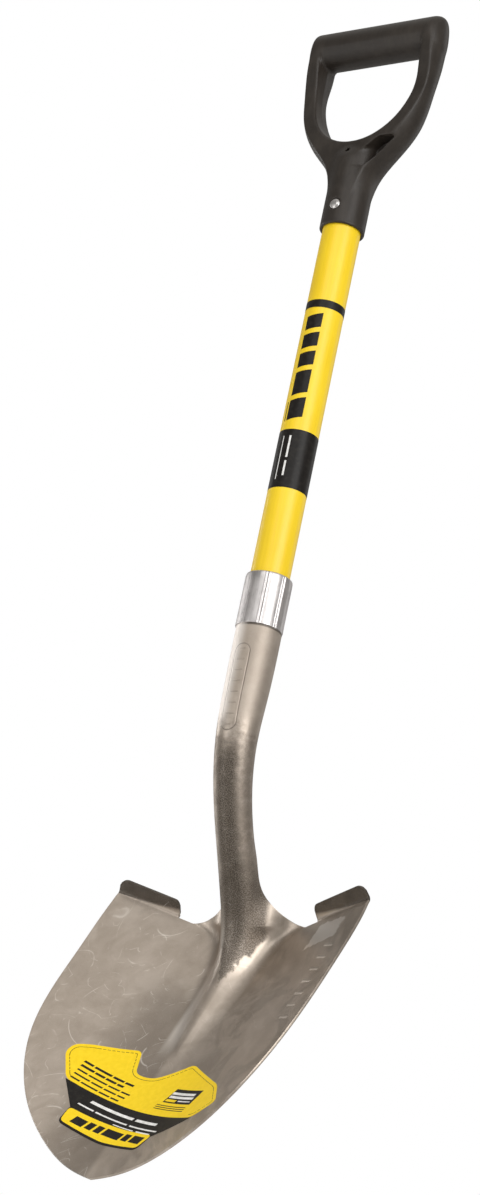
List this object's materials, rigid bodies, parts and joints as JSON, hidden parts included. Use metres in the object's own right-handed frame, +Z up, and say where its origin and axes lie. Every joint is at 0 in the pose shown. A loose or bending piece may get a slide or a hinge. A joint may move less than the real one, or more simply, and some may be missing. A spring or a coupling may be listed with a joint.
{
  "type": "round point shovel",
  "caption": "Digging shovel with a dished pointed steel blade, forward-turned treads, a socketed tube shaft and a moulded D-grip.",
  "frame": {"origin": "hang point: the middle of the underside of the grip's crossbar, on the shaft's centreline", "axes": "+Z up the shaft from the blade to the grip, -Y the front (the digging face), +X lateral"},
  "size_m": [0.2356, 0.1514, 1.0026],
  "materials": {
    "blade_steel": "tempered mill-scale steel, lacquered satin",
    "collar_metal": "bright plated, crimped",
    "shaft_fibreglass": "satin pultruded fibreglass, yellow",
    "core_fibreglass": "raw fibreglass tube",
    "plug_wood": "plain turned plug",
    "grip_plastic": "moulded, warm black, fine grain",
    "rivet_steel": "zinc-plated round head",
    "film_black": "printed film, satin",
    "film_label": "printed label, yellow and black"
  },
  "bodies": {
    "root": {"blade": "blade_steel", "collar": "collar_metal", "shaft_tube": "shaft_fibreglass", "core_sleeve": "core_fibreglass", "top_plug": "plug_wood", "d_grip": "grip_plastic", "grip_rivet": "rivet_steel", "shaft_film": "film_black", "blade_film": "film_label"}
  },
  "joints": []
}
